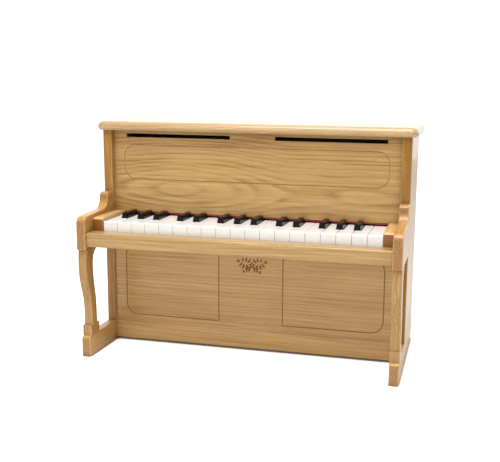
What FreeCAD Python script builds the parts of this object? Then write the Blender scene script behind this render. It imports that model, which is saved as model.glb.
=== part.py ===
import math
import os

import FreeCAD
import Part

# Toy upright piano with 32 keys, in millimetres.
# +X is to the player's right, +Y points to the back, +Z up.
# The origin lies on the floor under the middle of the outline.

# Keyboard
first_semitone = 5  # F, counted from C
key_count = 32
black_semitones = (1, 3, 6, 8, 10)
white_pitch = 18.9
key_gap = 0.5
visible_key_length = 66.0
white_key_height = 15.8
white_wall = 1.8
white_edge_bevel = 0.7
black_setback = 30.0
black_width = 8.8
black_top_width = 7.2
black_front_slope = 2.5
black_rise = 7.0
black_wall = 1.6
black_edge_bevel = 0.9
black_panel_gap = 2.5

# Key lever, pivot and hammer
press_angle = 4.0  # degrees
pivot_behind_panel = 16.0
pivot_below_key_top = 9.5
pivot_radius = 1.5
running_clearance = 0.06
neck_overrun = 3.0
lever_height = 12.0
lever_drop = 1.5
lever_corner_radius = 4.0
tail_reach = 57.0
hammer_clamp_gap = 6.2
hammer_root_depth = 15.0
hammer_tip_depth = 9.0
hammer_fillet = 6.0
hammer_tail = 6.0
hammer_nose_length = 5.0
hammer_nose_height = 7.0
hammer_nose_inset = 0.5
strike_clearance = 0.4

# Key frame
bed_thickness = 9.0
bed_rear_margin = 3.0
fin_thickness = 2.1
fin_clearance = 0.5
fin_half_depth = 6.0
fin_rise = 5.0
fin_bevel = 3.0
rail_base_thickness = 4.0
rest_felt_depth = 10.0
rest_felt_thickness = 3.0
rest_felt_behind_pivot = 22.0
rest_clearance = 0.2
stop_felt_depth = 10.0
stop_felt_thickness = 2.9
stop_felt_behind_front = 6.0
stop_clearance = 0.4
name_felt_thickness = 2.8
name_felt_inset = 2.0
name_felt_clearance = 1.8
name_felt_end_margin = 10.0
rod_end_gap = 0.3

# Case
board = 12.0
panel_thickness = 9.0
back_panel_thickness = 6.0
key_block_width = 13.95
key_block_radius = 4.0
floor_gap = 3.0
foot_height = 27.5
key_bed_underside = 144.0
lid_side_overhang = 7.0
lid_front_overhang = 6.0
lid_back_overhang = 3.0
lid_corner_radius = 9.0
lid_top_radius = 7.0
lid_bottom_radius = 4.0
upper_recess = 8.0
lower_recess = 3.3
edge_radius = 1.2
edge_bevel = 1.0
joint_radius = 0.9

# Key slip
slip_setback = 4.0
slip_depth = 20.0
slip_height = 18.1
slip_rise = 2.6
slip_edge_radius = 2.5
key_front_gap = 2.0

# Arms, legs and feet
arm_drop = 1.7
arm_front_height = 43.7
arm_top_slope = 2.0
arm_front_radius = 10.0
arm_bottom_radius = 3.0
riser_straight = 1.0
riser_depth = 16.0
riser_scoop_radius = 15.0
riser_top_radius = 5.0
leg_top_setback = 4.0
knee_drop = 19.3
knee_setback = 2.2
knee_depth = 19.0
ankle_setback = 14.6
ankle_depth = 13.5
ankle_rise = 16.0
ankle_flare = 1.0
leg_top_depth = 36.0
plinth_height = 13.5
plinth_setback = 10.5
plinth_depth = 22.5
toe_setback = 5.5
toe_radius = 4.0

# Sound slots and routed lines
slot_end_margin = 18.5
slot_height = 5.0
slot_spacing = 60.0
slot_below_lid = 4.0
groove_width = 1.6
groove_depth = 0.8
upper_line_margin = 15.5
upper_line_height = 46.0
upper_line_below_lid = 19.0
upper_line_radius = 16.0
lower_line_margin = 16.5
lower_line_spacing = 88.0
lower_line_above_rail = 10.5
lower_line_below_bed = 9.0
lower_line_radius = 16.0

# Tone pipes
lowest_pitch = 698.46  # hertz, the F above middle C's octave
pipe_sound_speed = 5055.0  # metres per second in aluminium
pipe_diameter = 8.0
pipe_wall = 0.8
pipe_floor_gap = 2.4
pipe_headroom = 16.4
pipe_rail_depth = 12.0
pipe_rail_height = 12.0
pipe_felt_thickness = 2.0
pipe_felt_height = 8.0
pipe_felt_clearance = 0.2
clamp_thickness = 3.0
clamp_height = 10.0
free_bar_factor = 3.5608
still_point = 0.2242  # share of a pipe's length from its end

# Wood screws
screw_radius = 1.5
screw_head_radius = 3.0
screw_head_height = 2.0
screw_bite = 8.6
screw_clearance = 0.05
screw_end_margin = 30.0
screws_per_side = 4
screws_along_bottom = 3
clamp_screw_margin = 6.0

# Worked-out plan of the keyboard
semitones = range(first_semitone, first_semitone + key_count)
white_semitones = [s for s in semitones if s % 12 not in black_semitones]
dark_semitones = [s for s in semitones if s % 12 in black_semitones]
octave_width = 7 * white_pitch
semitone_pitch = octave_width / 12
lever_width = semitone_pitch - fin_thickness - 2 * fin_clearance
hammer_nose_width = lever_width - 2 * hammer_nose_inset
keyboard_width = len(white_semitones) * white_pitch
whites_below_first = len([s for s in range(first_semitone) if s not in black_semitones])
octave_origin_x = -keyboard_width / 2 - whites_below_first * white_pitch

# Worked-out widths
inner_half = keyboard_width / 2 + key_block_width
name_felt_half = inner_half - name_felt_end_margin
case_half = inner_half + board
lid_half = case_half + lid_side_overhang


def pipe_length(semitone):
    """Length of a free aluminium tube that sounds the given semitone."""
    inner = pipe_diameter - 2 * pipe_wall
    gyration = math.sqrt(pipe_diameter**2 + inner**2) / 4 / 1000
    pitch = lowest_pitch * 2 ** ((semitone - first_semitone) / 12)
    return 1000 * math.sqrt(free_bar_factor * pipe_sound_speed * gyration / pitch)


def semitone_x(semitone):
    """Middle of a key's lever, hammer and pipe."""
    return octave_origin_x + (semitone + 0.5) * semitone_pitch


# Worked-out heights of the case and its pipes
bottom_board_top = floor_gap + board
longest_pipe = pipe_length(first_semitone)
lower_still_z = bottom_board_top + pipe_floor_gap + still_point * longest_pipe
lid_underside = lower_still_z + (1 - still_point) * longest_pipe + pipe_headroom


def upper_still_z(x):
    """Height of the pipes' upper still points along the keyboard."""
    semitone = (x - octave_origin_x) / semitone_pitch - 0.5
    return lower_still_z + (1 - 2 * still_point) * pipe_length(semitone)


# Worked-out heights of the keys; the hammers strike below the shortest pipe's upper clamp
press = math.radians(press_angle)
bed_top = key_bed_underside + bed_thickness
stop_before_pivot = visible_key_length + pivot_behind_panel - stop_felt_behind_front
skirt_bottom = bed_top + stop_felt_thickness + stop_clearance + stop_before_pivot * math.sin(press)
key_top = skirt_bottom + white_key_height
pivot_z = key_top - pivot_below_key_top
lever_top = key_top - lever_drop
lever_bottom = lever_top - lever_height
upper_panel_bottom = key_top + name_felt_clearance + name_felt_thickness
slip_bottom = key_bed_underside + slip_rise
arm_underside = key_bed_underside - arm_drop
strike_reach = tail_reach + hammer_nose_length
hammer_lift = strike_reach * math.sin(press)
lowest_clamp = upper_still_z(semitone_x(semitones[-1])) - clamp_height / 2
hammer_z = lowest_clamp - hammer_clamp_gap - hammer_lift - hammer_nose_height / 2

# Worked-out depths, from the arms' front to the lid's back edge
strike_travel = strike_reach * (math.cos(press) - 1) + (pivot_z - hammer_z) * math.sin(press)
panel_behind_arm = slip_setback + slip_depth + key_front_gap + visible_key_length
pipe_behind_pivot = strike_reach + strike_travel + strike_clearance
clamped_depth = pipe_diameter + 2 * pipe_felt_clearance + 2 * pipe_felt_thickness
rail_behind_pivot = pipe_behind_pivot + pipe_diameter + pipe_felt_clearance + pipe_felt_thickness
back_behind_pivot = rail_behind_pivot + pipe_rail_depth + back_panel_thickness
pivot_behind_arm = panel_behind_arm + pivot_behind_panel
overall_depth = pivot_behind_arm + back_behind_pivot + lid_back_overhang
screw_length = clamp_thickness + clamped_depth + screw_bite

arm_front_y = -overall_depth / 2
slip_front_y = arm_front_y + slip_setback
slip_back_y = slip_front_y + slip_depth
key_front_y = slip_back_y + key_front_gap
upper_front_y = arm_front_y + panel_behind_arm
case_front_y = upper_front_y - upper_recess
lower_front_y = case_front_y + lower_recess
pivot_y = arm_front_y + pivot_behind_arm
neck_end_y = upper_front_y + neck_overrun
tail_y = pivot_y + tail_reach
pipe_y = pivot_y + pipe_behind_pivot + pipe_diameter / 2
pipe_rail_y = pivot_y + rail_behind_pivot
clamp_y = pipe_rail_y - clamped_depth - clamp_thickness
back_panel_y = pipe_rail_y + pipe_rail_depth
case_back_y = back_panel_y + back_panel_thickness
rest_felt_y = pivot_y + rest_felt_behind_pivot
bed_back_y = rest_felt_y + rest_felt_depth + bed_rear_margin
stop_felt_y = pivot_y - stop_before_pivot


def box(x0, x1, y0, y1, z0, z1):
    return Part.makeBox(x1 - x0, y1 - y0, z1 - z0, FreeCAD.Vector(x0, y0, z0))


def line(a, b):
    return Part.makeLine(a, b)


def arc(a, middle, b):
    return Part.Arc(a, middle, b).toShape()


def spline(points):
    curve = Part.BSplineCurve()
    curve.interpolate(points)
    return curve.toShape()


def corner_arc(centre, radius, start, end):
    """Arc about a centre vector in the YZ plane, angles in degrees from +Y to +Z."""
    stops = []
    for angle in (start, (start + end) / 2, end):
        turn = math.radians(angle)
        stops.append(centre + FreeCAD.Vector(0, radius * math.cos(turn), radius * math.sin(turn)))
    return arc(*stops)


def upright_arc(x, y0, z0, y1, z1):
    """Arc in the YZ plane that leaves the first point upright and ends at the second."""
    dy = y1 - y0
    dz = z1 - z0
    radius = (dy**2 + dz**2) / (2 * abs(dy))
    swing = 2 * math.atan2(abs(dy), abs(dz))
    half = swing / 2
    side = math.copysign(radius * (1 - math.cos(half)), dy)
    rise = math.copysign(radius * math.sin(half), dz)
    start = FreeCAD.Vector(x, y0, z0)
    return arc(start, FreeCAD.Vector(x, y0 + side, z0 + rise), FreeCAD.Vector(x, y1, z1))


def reversed_edge(edge):
    start, end = edge_ends(edge)
    middle = edge.valueAt((edge.FirstParameter + edge.LastParameter) / 2)
    return arc(end, middle, start)


def s_curve(x, y0, z0, y1, z1):
    """Two equal arcs in the YZ plane, upright at both ends."""
    y = (y0 + y1) / 2
    z = (z0 + z1) / 2
    return [upright_arc(x, y0, z0, y, z), reversed_edge(upright_arc(x, y1, z1, y, z))]


def chain(x, steps):
    """Face in the YZ plane at x from arcs and (y, z) points, joined by straight lines."""
    edges = []
    for step in steps:
        edge = FreeCAD.Vector(x, *step) if isinstance(step, tuple) else step
        edges.append(edge)
    outline = []
    last = None
    first = None
    for edge in edges:
        start, end = edge_ends(edge)
        if last is not None and last.distanceToPoint(start) > 1e-6:
            outline.append(line(last, start))
        if not isinstance(edge, FreeCAD.Vector):
            outline.append(edge)
        first = start if first is None else first
        last = end
    if last.distanceToPoint(first) > 1e-6:
        outline.append(line(last, first))
    return Part.Face(Part.Wire(outline))


def edge_ends(edge):
    if isinstance(edge, FreeCAD.Vector):
        return edge, edge
    return edge.valueAt(edge.FirstParameter), edge.valueAt(edge.LastParameter)


def extrude_x(face, width):
    return face.extrude(FreeCAD.Vector(width, 0, 0))


def edges_where(shape, wanted):
    """Edges whose middle point passes the test."""
    chosen = []
    for edge in shape.Edges:
        if wanted(edge.valueAt((edge.FirstParameter + edge.LastParameter) / 2)):
            chosen.append(edge)
    return chosen


def soften(shape, radius, wanted):
    return shape.makeFillet(radius, edges_where(shape, wanted))


def bevel(shape, size, wanted):
    return shape.makeChamfer(size, edges_where(shape, wanted))


def near(a, b):
    return abs(a - b) < 1e-4


def mirrored(shape):
    return shape.mirror(FreeCAD.Vector(0, 0, 0), FreeCAD.Vector(1, 0, 0))


# Keys


def white_edges(semitone):
    """Left and right edge of a white key's head."""
    index = white_semitones.index(semitone)
    left = -keyboard_width / 2 + index * white_pitch
    return left + key_gap / 2, left + white_pitch - key_gap / 2


def neck_edges(semitone):
    """Left and right edge of a white key between the black keys beside it."""
    left, right = white_edges(semitone)
    if semitone - 1 in dark_semitones:
        left = semitone_x(semitone - 1) + black_width / 2 + key_gap
    if semitone + 1 in dark_semitones:
        right = semitone_x(semitone + 1) - black_width / 2 - key_gap
    return left, right


def white_plan(semitone, inset, z):
    """Outline of a white key from above, drawn in by the inset."""
    left, right = white_edges(semitone)
    neck_left, neck_right = neck_edges(semitone)
    shoulder = key_front_y + black_setback - key_gap - inset
    front = key_front_y + inset
    back = neck_end_y - inset
    corners = [(left + inset, front), (right - inset, front)]
    if neck_right < right:
        corners += [(right - inset, shoulder), (neck_right - inset, shoulder)]
    corners += [(neck_right - inset, back), (neck_left + inset, back)]
    if neck_left > left:
        corners += [(neck_left + inset, shoulder), (left + inset, shoulder)]
    points = [FreeCAD.Vector(x, y, z) for x, y in corners]
    return Part.Face(Part.makePolygon(points + points[:1]))


def lever(semitone, front):
    """Key lever with its bored pivot and the hammer arm hanging from its tail."""
    x = semitone_x(semitone) - lever_width / 2
    root_y = tail_y - hammer_root_depth
    arm_bottom = hammer_z - hammer_tail
    tail_centre = FreeCAD.Vector(x, tail_y - lever_corner_radius, lever_top - lever_corner_radius)
    fillet_centre = FreeCAD.Vector(x, root_y - hammer_fillet, lever_bottom - hammer_fillet)
    side = chain(
        x,
        [
            (front, lever_bottom),
            (front, lever_top),
            corner_arc(tail_centre, lever_corner_radius, 90, 0),
            (tail_y, arm_bottom),
            (tail_y - hammer_tip_depth, arm_bottom),
            corner_arc(fillet_centre, hammer_fillet, 0, 90),
        ],
    )
    bore = Part.makeCylinder(
        pivot_radius + running_clearance,
        lever_width,
        FreeCAD.Vector(x, pivot_y, pivot_z),
        FreeCAD.Vector(1, 0, 0),
    )
    return extrude_x(side, lever_width).cut(bore)


def hammer_nose(semitone):
    """Round-nosed head on the back of the hammer arm."""
    x = semitone_x(semitone) - hammer_nose_width / 2
    low = FreeCAD.Vector(x, tail_y, hammer_z - hammer_nose_height / 2)
    tip = FreeCAD.Vector(x, tail_y + hammer_nose_length, hammer_z)
    high = FreeCAD.Vector(x, tail_y, hammer_z + hammer_nose_height / 2)
    side = Part.Face(Part.Wire([arc(low, tip, high), line(high, low)]))
    return extrude_x(side, hammer_nose_width)


def white_key(semitone):
    """Hollow moulding, open underneath, with its lever and hammer."""
    block = white_plan(semitone, 0, skirt_bottom).extrude(FreeCAD.Vector(0, 0, white_key_height))
    block = bevel(block, white_edge_bevel, lambda p: near(p.z, key_top) and p.y < neck_end_y - 1)
    cavity_height = white_key_height - white_wall
    cavity = white_plan(semitone, white_wall, skirt_bottom).extrude(FreeCAD.Vector(0, 0, cavity_height))
    moulding = block.cut(cavity).fuse(lever(semitone, neck_end_y - white_wall)).removeSplitter()
    return Part.makeCompound([moulding.Solids[0], hammer_nose(semitone)])


def rectangle(x, width, y0, y1, z):
    left = x - width / 2
    right = x + width / 2
    corners = [(left, y0), (right, y0), (right, y1), (left, y1)]
    points = [FreeCAD.Vector(a, b, z) for a, b in corners]
    return Part.makePolygon(points + points[:1])


def black_key(semitone):
    """Tapered cap on a hollow lever, with its hammer."""
    x = semitone_x(semitone)
    front = key_front_y + black_setback
    back = upper_front_y - black_panel_gap
    foot = rectangle(x, black_width, front, back, lever_top)
    crown = rectangle(x, black_top_width, front + black_front_slope, back, key_top + black_rise)
    cap = Part.makeLoft([foot, crown], True, True)
    cap = bevel(cap, black_edge_bevel, lambda p: p.z > lever_top + 1 and p.y < back - 1)
    half = lever_width / 2 - black_wall
    hollow = box(
        x - half,
        x + half,
        front + 2 * black_wall,
        back,
        lever_bottom,
        lever_top - black_wall,
    )
    moulding = lever(semitone, front + black_wall).cut(hollow).fuse(cap).removeSplitter()
    return Part.makeCompound([moulding.Solids[0], hammer_nose(semitone)])


# Key frame


def key_bed():
    return box(-inner_half, inner_half, slip_back_y, bed_back_y, key_bed_underside, bed_top)


def key_slip():
    slip = box(-inner_half, inner_half, slip_front_y, slip_back_y, slip_bottom, slip_bottom + slip_height)
    return soften(slip, slip_edge_radius, lambda p: near(p.y, slip_front_y) and near(p.x, 0))


def key_block():
    """Block between the top white key and the right arm, let in for the end of the name felt."""
    inner = keyboard_width / 2 + key_gap / 2
    back = upper_front_y + panel_thickness
    top = upper_panel_bottom
    block = box(inner, inner_half, slip_back_y, back, bed_top, top)
    block = soften(block, key_block_radius, lambda p: near(p.y, slip_back_y) and near(p.z, top))
    return block.cut(name_felt())


def balance_rail():
    """Comb rail: a notched fin on each side of every lever carries the pivot rod."""
    ridge_top = lever_bottom - rest_clearance - rest_felt_thickness
    front = pivot_y - fin_half_depth
    base_top = bed_top + rail_base_thickness
    side = chain(
        -inner_half,
        [
            (front, bed_top),
            (front, base_top),
            (rest_felt_y, base_top),
            (rest_felt_y, ridge_top),
            (rest_felt_y + rest_felt_depth, ridge_top),
            (rest_felt_y + rest_felt_depth, bed_top),
        ],
    )
    rail = extrude_x(side, 2 * inner_half)
    seat = pivot_radius + running_clearance
    back = pivot_y + fin_half_depth
    top = pivot_z + fin_rise
    fins = []
    for semitone in range(first_semitone, first_semitone + key_count + 1):
        x = semitone_x(semitone) - semitone_pitch / 2 - fin_thickness / 2
        fin = chain(
            x,
            [
                (front, base_top),
                (front, top - fin_bevel),
                (front + fin_bevel, top),
                (pivot_y - seat, top),
                (pivot_y - seat, pivot_z - seat),
                (pivot_y + seat, pivot_z - seat),
                (pivot_y + seat, top),
                (back - fin_bevel, top),
                (back, top - fin_bevel),
                (back, base_top),
            ],
        )
        fins.append(extrude_x(fin, fin_thickness))
    return rail.fuse(fins).removeSplitter()


def pivot_rod():
    half = inner_half - rod_end_gap
    start = FreeCAD.Vector(-half, pivot_y, pivot_z)
    return Part.makeCylinder(pivot_radius, 2 * half, start, FreeCAD.Vector(1, 0, 0))


def front_stop_felt():
    half = keyboard_width / 2
    top = bed_top + stop_felt_thickness
    return box(-half, half, stop_felt_y, stop_felt_y + stop_felt_depth, bed_top, top)


def rest_felt():
    half = keyboard_width / 2
    top = lever_bottom - rest_clearance
    return box(-half, half, rest_felt_y, rest_felt_y + rest_felt_depth, top - rest_felt_thickness, top)


def name_felt():
    front = upper_front_y + name_felt_inset
    back = upper_front_y + panel_thickness
    bottom = upper_panel_bottom - name_felt_thickness
    return box(-name_felt_half, name_felt_half, front, back, bottom, upper_panel_bottom)


# Case


def top_board():
    front = case_front_y - lid_front_overhang
    back = case_back_y + lid_back_overhang
    lid_top = lid_underside + board
    lid = box(-lid_half, lid_half, front, back, lid_underside, lid_top)
    middle = lid_underside + board / 2
    lid = soften(lid, lid_corner_radius, lambda p: near(p.z, middle) and near(p.y, front))
    lid = soften(lid, lid_top_radius, lambda p: near(p.z, lid_top) and not near(p.y, back))
    return soften(lid, lid_bottom_radius, lambda p: near(p.z, lid_underside) and not near(p.y, back))


def side_panel():
    """Right side of the case, standing on the foot rail."""
    panel = box(inner_half, case_half, case_front_y, back_panel_y, foot_height, lid_underside)
    middle = (foot_height + lid_underside) / 2
    panel = soften(panel, edge_radius, lambda p: near(p.y, case_front_y) and near(p.z, middle))
    return panel.cut(screw_bores(side_screw_places()))


def rounded_outline(x0, x1, z0, z1, radii):
    """Closed outline in the XZ plane; radii go round from the lower left corner."""
    corners = [(x0, z0), (x1, z0), (x1, z1), (x0, z1)]
    turns = [180, 270, 0, 90]
    stops = []
    for (x, z), radius, turn in zip(corners, radii, turns):
        inward_x = 1 if x == x0 else -1
        inward_z = 1 if z == z0 else -1
        centre = FreeCAD.Vector(x + inward_x * radius, 0, z + inward_z * radius)
        ring = []
        for angle in (turn, turn + 45, turn + 90):
            a = math.radians(angle)
            ring.append(centre + FreeCAD.Vector(radius * math.cos(a), 0, radius * math.sin(a)))
        stops.append(ring)
    edges = []
    for index, ring in enumerate(stops):
        following = stops[(index + 1) % 4]
        if radii[index] > 0:
            edges.append(arc(*ring))
        edges.append(line(ring[2], following[0]))
    return Part.Wire(edges)


def routed_line(x0, x1, z0, z1, radii, front):
    """Shallow groove of even width along a rounded rectangle."""
    half = groove_width / 2
    outer_radii = [radius + half if radius > 0 else 0 for radius in radii]
    inner_radii = [radius - half if radius > 0 else 0 for radius in radii]
    outer = Part.Face(rounded_outline(x0 - half, x1 + half, z0 - half, z1 + half, outer_radii))
    inner = Part.Face(rounded_outline(x0 + half, x1 - half, z0 + half, z1 - half, inner_radii))
    ring = outer.cut(inner)
    ring.translate(FreeCAD.Vector(0, front, 0))
    return ring.extrude(FreeCAD.Vector(0, groove_depth, 0))


def upper_front_panel():
    back = upper_front_y + panel_thickness
    panel = box(-inner_half, inner_half, upper_front_y, back, upper_panel_bottom, lid_underside)
    slot_top = lid_underside - slot_below_lid
    near_x = slot_spacing / 2
    far_x = inner_half - slot_end_margin
    slot = box(near_x, far_x, upper_front_y, back, slot_top - slot_height, slot_top)
    half = inner_half - upper_line_margin
    line_top = lid_underside - upper_line_below_lid
    groove = routed_line(
        -half,
        half,
        line_top - upper_line_height,
        line_top,
        [upper_line_radius] * 4,
        upper_front_y,
    )
    return panel.cut([slot, mirrored(slot), groove])


def lower_front_panel():
    back = lower_front_y + panel_thickness
    panel = box(-inner_half, inner_half, lower_front_y, back, foot_height, key_bed_underside)
    panel = soften(panel, joint_radius, lambda p: near(p.y, lower_front_y) and near(p.z, foot_height))
    groove = routed_line(
        lower_line_spacing / 2,
        inner_half - lower_line_margin,
        foot_height + lower_line_above_rail,
        key_bed_underside - lower_line_below_bed,
        [0, lower_line_radius, lower_line_radius, 0],
        lower_front_y,
    )
    return panel.cut([groove, mirrored(groove)])


def bottom_rail():
    back = lower_front_y + board
    rail = box(-inner_half, inner_half, lower_front_y, back, floor_gap, foot_height)
    return soften(rail, joint_radius, lambda p: near(p.y, lower_front_y) and near(p.z, foot_height))


def bottom_board():
    front = lower_front_y + board
    panel = box(-inner_half, inner_half, front, back_panel_y, floor_gap, bottom_board_top)
    return panel.cut(screw_bores(bottom_screw_places()))


def back_panel():
    panel = box(-case_half, case_half, back_panel_y, case_back_y, floor_gap, lid_underside)
    places = side_screw_places() + bottom_screw_places()
    left = [FreeCAD.Vector(-p.x, p.y, p.z) for p in side_screw_places()]
    return panel.cut(screw_bores(places + left))


# Arms, legs and feet


def arm():
    """Right arm: rounded front, nearly flat top and a scooped riser."""
    bottom = arm_underside
    front_top = bottom + arm_front_height
    scoop_z = front_top + arm_top_slope
    riser_top = scoop_z + riser_scoop_radius + riser_straight + riser_top_radius
    riser_y = case_front_y - riser_depth
    x = inner_half
    heel = FreeCAD.Vector(x, arm_front_y + arm_bottom_radius, bottom + arm_bottom_radius)
    nose = FreeCAD.Vector(x, arm_front_y + arm_front_radius, front_top - arm_front_radius)
    scoop = FreeCAD.Vector(x, riser_y - riser_scoop_radius, scoop_z + riser_scoop_radius)
    crest = FreeCAD.Vector(x, riser_y + riser_top_radius, riser_top - riser_top_radius)
    side = chain(
        x,
        [
            (case_front_y, bottom),
            corner_arc(heel, arm_bottom_radius, 270, 180),
            corner_arc(nose, arm_front_radius, 180, 90),
            corner_arc(scoop, riser_scoop_radius, 270, 360),
            corner_arc(crest, riser_top_radius, 180, 90),
            (case_front_y, riser_top),
        ],
    )
    shape = extrude_x(side, board)
    return bevel(shape, edge_bevel, lambda p: side_edge(p) and p.y < case_front_y - 1)


def side_edge(p):
    return near(p.x, inner_half) or near(p.x, case_half)


def leg():
    """Right cabriole leg, cut from board, with a stepped ankle block."""
    x = inner_half
    top = arm_underside
    plinth_top = foot_height + plinth_height
    knee_z = top - knee_drop
    ankle_z = plinth_top + ankle_rise
    ankle_y = arm_front_y + ankle_setback
    knee_y = arm_front_y + knee_setback
    plinth_y = arm_front_y + plinth_setback
    ankle_back_y = ankle_y + ankle_depth
    knee_back_y = knee_y + knee_depth
    top_y = arm_front_y + leg_top_setback
    side = chain(
        x,
        [
            (plinth_y, foot_height),
            (plinth_y, plinth_top),
            reversed_edge(upright_arc(x, ankle_y, ankle_z, ankle_y - ankle_flare, plinth_top)),
            *s_curve(x, ankle_y, ankle_z, knee_y, knee_z),
            upright_arc(x, knee_y, knee_z, top_y, top),
            reversed_edge(upright_arc(x, knee_back_y, knee_z, top_y + leg_top_depth, top)),
            *s_curve(x, knee_back_y, knee_z, ankle_back_y, ankle_z),
            upright_arc(x, ankle_back_y, ankle_z, ankle_back_y + ankle_flare, plinth_top),
            (plinth_y + plinth_depth, plinth_top),
            (plinth_y + plinth_depth, foot_height),
        ],
    )
    shape = extrude_x(side, board)
    return bevel(shape, edge_bevel, lambda p: side_edge(p) and plinth_top + 1 < p.z < top - 1)


def foot():
    """Right foot rail: toe block in front, rail under the side panel behind."""
    x = inner_half
    front = arm_front_y + toe_setback
    centre = FreeCAD.Vector(x, front + toe_radius, foot_height - toe_radius)
    toe = corner_arc(centre, toe_radius, 180, 90)
    side = chain(x, [(back_panel_y, 0), (front, 0), toe, (back_panel_y, foot_height)])
    shape = extrude_x(side, board)
    return bevel(shape, edge_bevel, lambda p: side_edge(p) and p.y < front + 2 and p.z > 1)


# Tone pipes and their rails


def tone_pipe(semitone):
    length = pipe_length(semitone)
    start = FreeCAD.Vector(semitone_x(semitone), pipe_y, lower_still_z - still_point * length)
    outer = Part.makeCylinder(pipe_diameter / 2, length, start)
    return outer.cut(Part.makeCylinder(pipe_diameter / 2 - pipe_wall, length, start))


def lower_strip(y0, y1, height):
    low = lower_still_z - height / 2
    return box(-inner_half, inner_half, y0, y1, low, low + height)


def upper_strip(y0, y1, height):
    """Strip of even height that follows the pipes' upper still points."""
    steps = 6
    low = []
    high = []
    for step in range(steps + 1):
        x = inner_half * (2 * step / steps - 1)
        low.append(FreeCAD.Vector(x, y0, upper_still_z(x) - height / 2))
        high.append(FreeCAD.Vector(x, y0, upper_still_z(x) + height / 2))
    edges = [spline(low), line(low[-1], high[-1]), spline(high[::-1]), line(high[0], low[0])]
    return Part.Face(Part.Wire(edges)).extrude(FreeCAD.Vector(0, y1 - y0, 0))


def strip_pair(y0, y1, height):
    return [lower_strip(y0, y1, height), upper_strip(y0, y1, height)]


def bored_pair(y0, y1, height):
    bores = clamp_screw_bores()
    return [strip.cut(bores) for strip in strip_pair(y0, y1, height)]


def pipe_rails():
    return bored_pair(pipe_rail_y, back_panel_y, pipe_rail_height)


def pipe_clamps():
    return bored_pair(clamp_y, clamp_y + clamp_thickness, clamp_height)


def pipe_felts():
    front = clamp_y + clamp_thickness
    felts = bored_pair(front, front + pipe_felt_thickness, pipe_felt_height)
    return felts + bored_pair(pipe_rail_y - pipe_felt_thickness, pipe_rail_y, pipe_felt_height)


# Screws


def side_screw_places():
    """Heads of the back panel's screws into the right side panel."""
    low = foot_height + screw_end_margin
    step = (lid_underside - screw_end_margin - low) / (screws_per_side - 1)
    x = inner_half + board / 2
    return [FreeCAD.Vector(x, case_back_y, low + step * i) for i in range(screws_per_side)]


def bottom_screw_places():
    """Heads of the back panel's screws into the bottom board."""
    z = floor_gap + board / 2
    half = inner_half - screw_end_margin
    step = 2 * half / (screws_along_bottom - 1)
    return [FreeCAD.Vector(step * i - half, case_back_y, z) for i in range(screws_along_bottom)]


def clamp_screw_places():
    places = []
    for x in (clamp_screw_margin - inner_half, inner_half - clamp_screw_margin):
        places.append(FreeCAD.Vector(x, clamp_y, lower_still_z))
        places.append(FreeCAD.Vector(x, clamp_y, upper_still_z(x)))
    return places


def screw(place, into, clearance):
    """Countersunk wood screw with its head flush at the place."""
    head = Part.makeCone(
        screw_head_radius + clearance,
        screw_radius + clearance,
        screw_head_height,
        place,
        into,
    )
    shank = Part.makeCylinder(screw_radius + clearance, screw_length + clearance, place, into)
    return head.fuse(shank).removeSplitter()


def screw_bores(places):
    return [screw(p, FreeCAD.Vector(0, -1, 0), screw_clearance) for p in places]


def clamp_screw_bores():
    return [screw(p, FreeCAD.Vector(0, 1, 0), screw_clearance) for p in clamp_screw_places()]


def wood_screws():
    right = side_screw_places()
    left = [FreeCAD.Vector(-p.x, p.y, p.z) for p in right]
    forward = FreeCAD.Vector(0, -1, 0)
    screws = [screw(p, forward, 0) for p in left + bottom_screw_places() + right]
    return screws + [screw(p, FreeCAD.Vector(0, 1, 0), 0) for p in clamp_screw_places()]


def assembly():
    """Every node of the piano by name."""
    nodes = {
        "top_board": top_board(),
        "left_side_panel": mirrored(side_panel()),
        "right_side_panel": side_panel(),
        "upper_front_panel": upper_front_panel(),
        "lower_front_panel": lower_front_panel(),
        "bottom_rail": bottom_rail(),
        "bottom_board": bottom_board(),
        "back_panel": back_panel(),
        "key_bed": key_bed(),
        "key_slip": key_slip(),
        "left_key_block": mirrored(key_block()),
        "right_key_block": key_block(),
        "left_arm": mirrored(arm()),
        "right_arm": arm(),
        "left_leg": mirrored(leg()),
        "right_leg": leg(),
        "left_foot": mirrored(foot()),
        "right_foot": foot(),
        "name_felt": name_felt(),
        "balance_rail": balance_rail(),
        "key_pivot_rod": pivot_rod(),
        "front_stop_felt": front_stop_felt(),
        "rest_felt": rest_felt(),
        "tone_pipes": Part.makeCompound([tone_pipe(s) for s in semitones]),
        "pipe_rails": Part.makeCompound(pipe_rails()),
        "pipe_clamps": Part.makeCompound(pipe_clamps()),
        "pipe_felts": Part.makeCompound(pipe_felts()),
        "wood_screws": Part.makeCompound(wood_screws()),
    }
    for number, semitone in enumerate(white_semitones, 1):
        nodes["white_key_%02d" % number] = white_key(semitone)
    for number, semitone in enumerate(dark_semitones, 1):
        nodes["black_key_%02d" % number] = black_key(semitone)
    return nodes


os.makedirs("parts", exist_ok=True)
for name, shape in assembly().items():
    shape.exportStep("parts/" + name + ".step")
print("depth", round(overall_depth, 2), "height", round(lid_underside + board, 2), "width", 2 * lid_half)
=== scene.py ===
import math
import random

import bmesh
import bpy
from mathutils import Matrix, Vector


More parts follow.
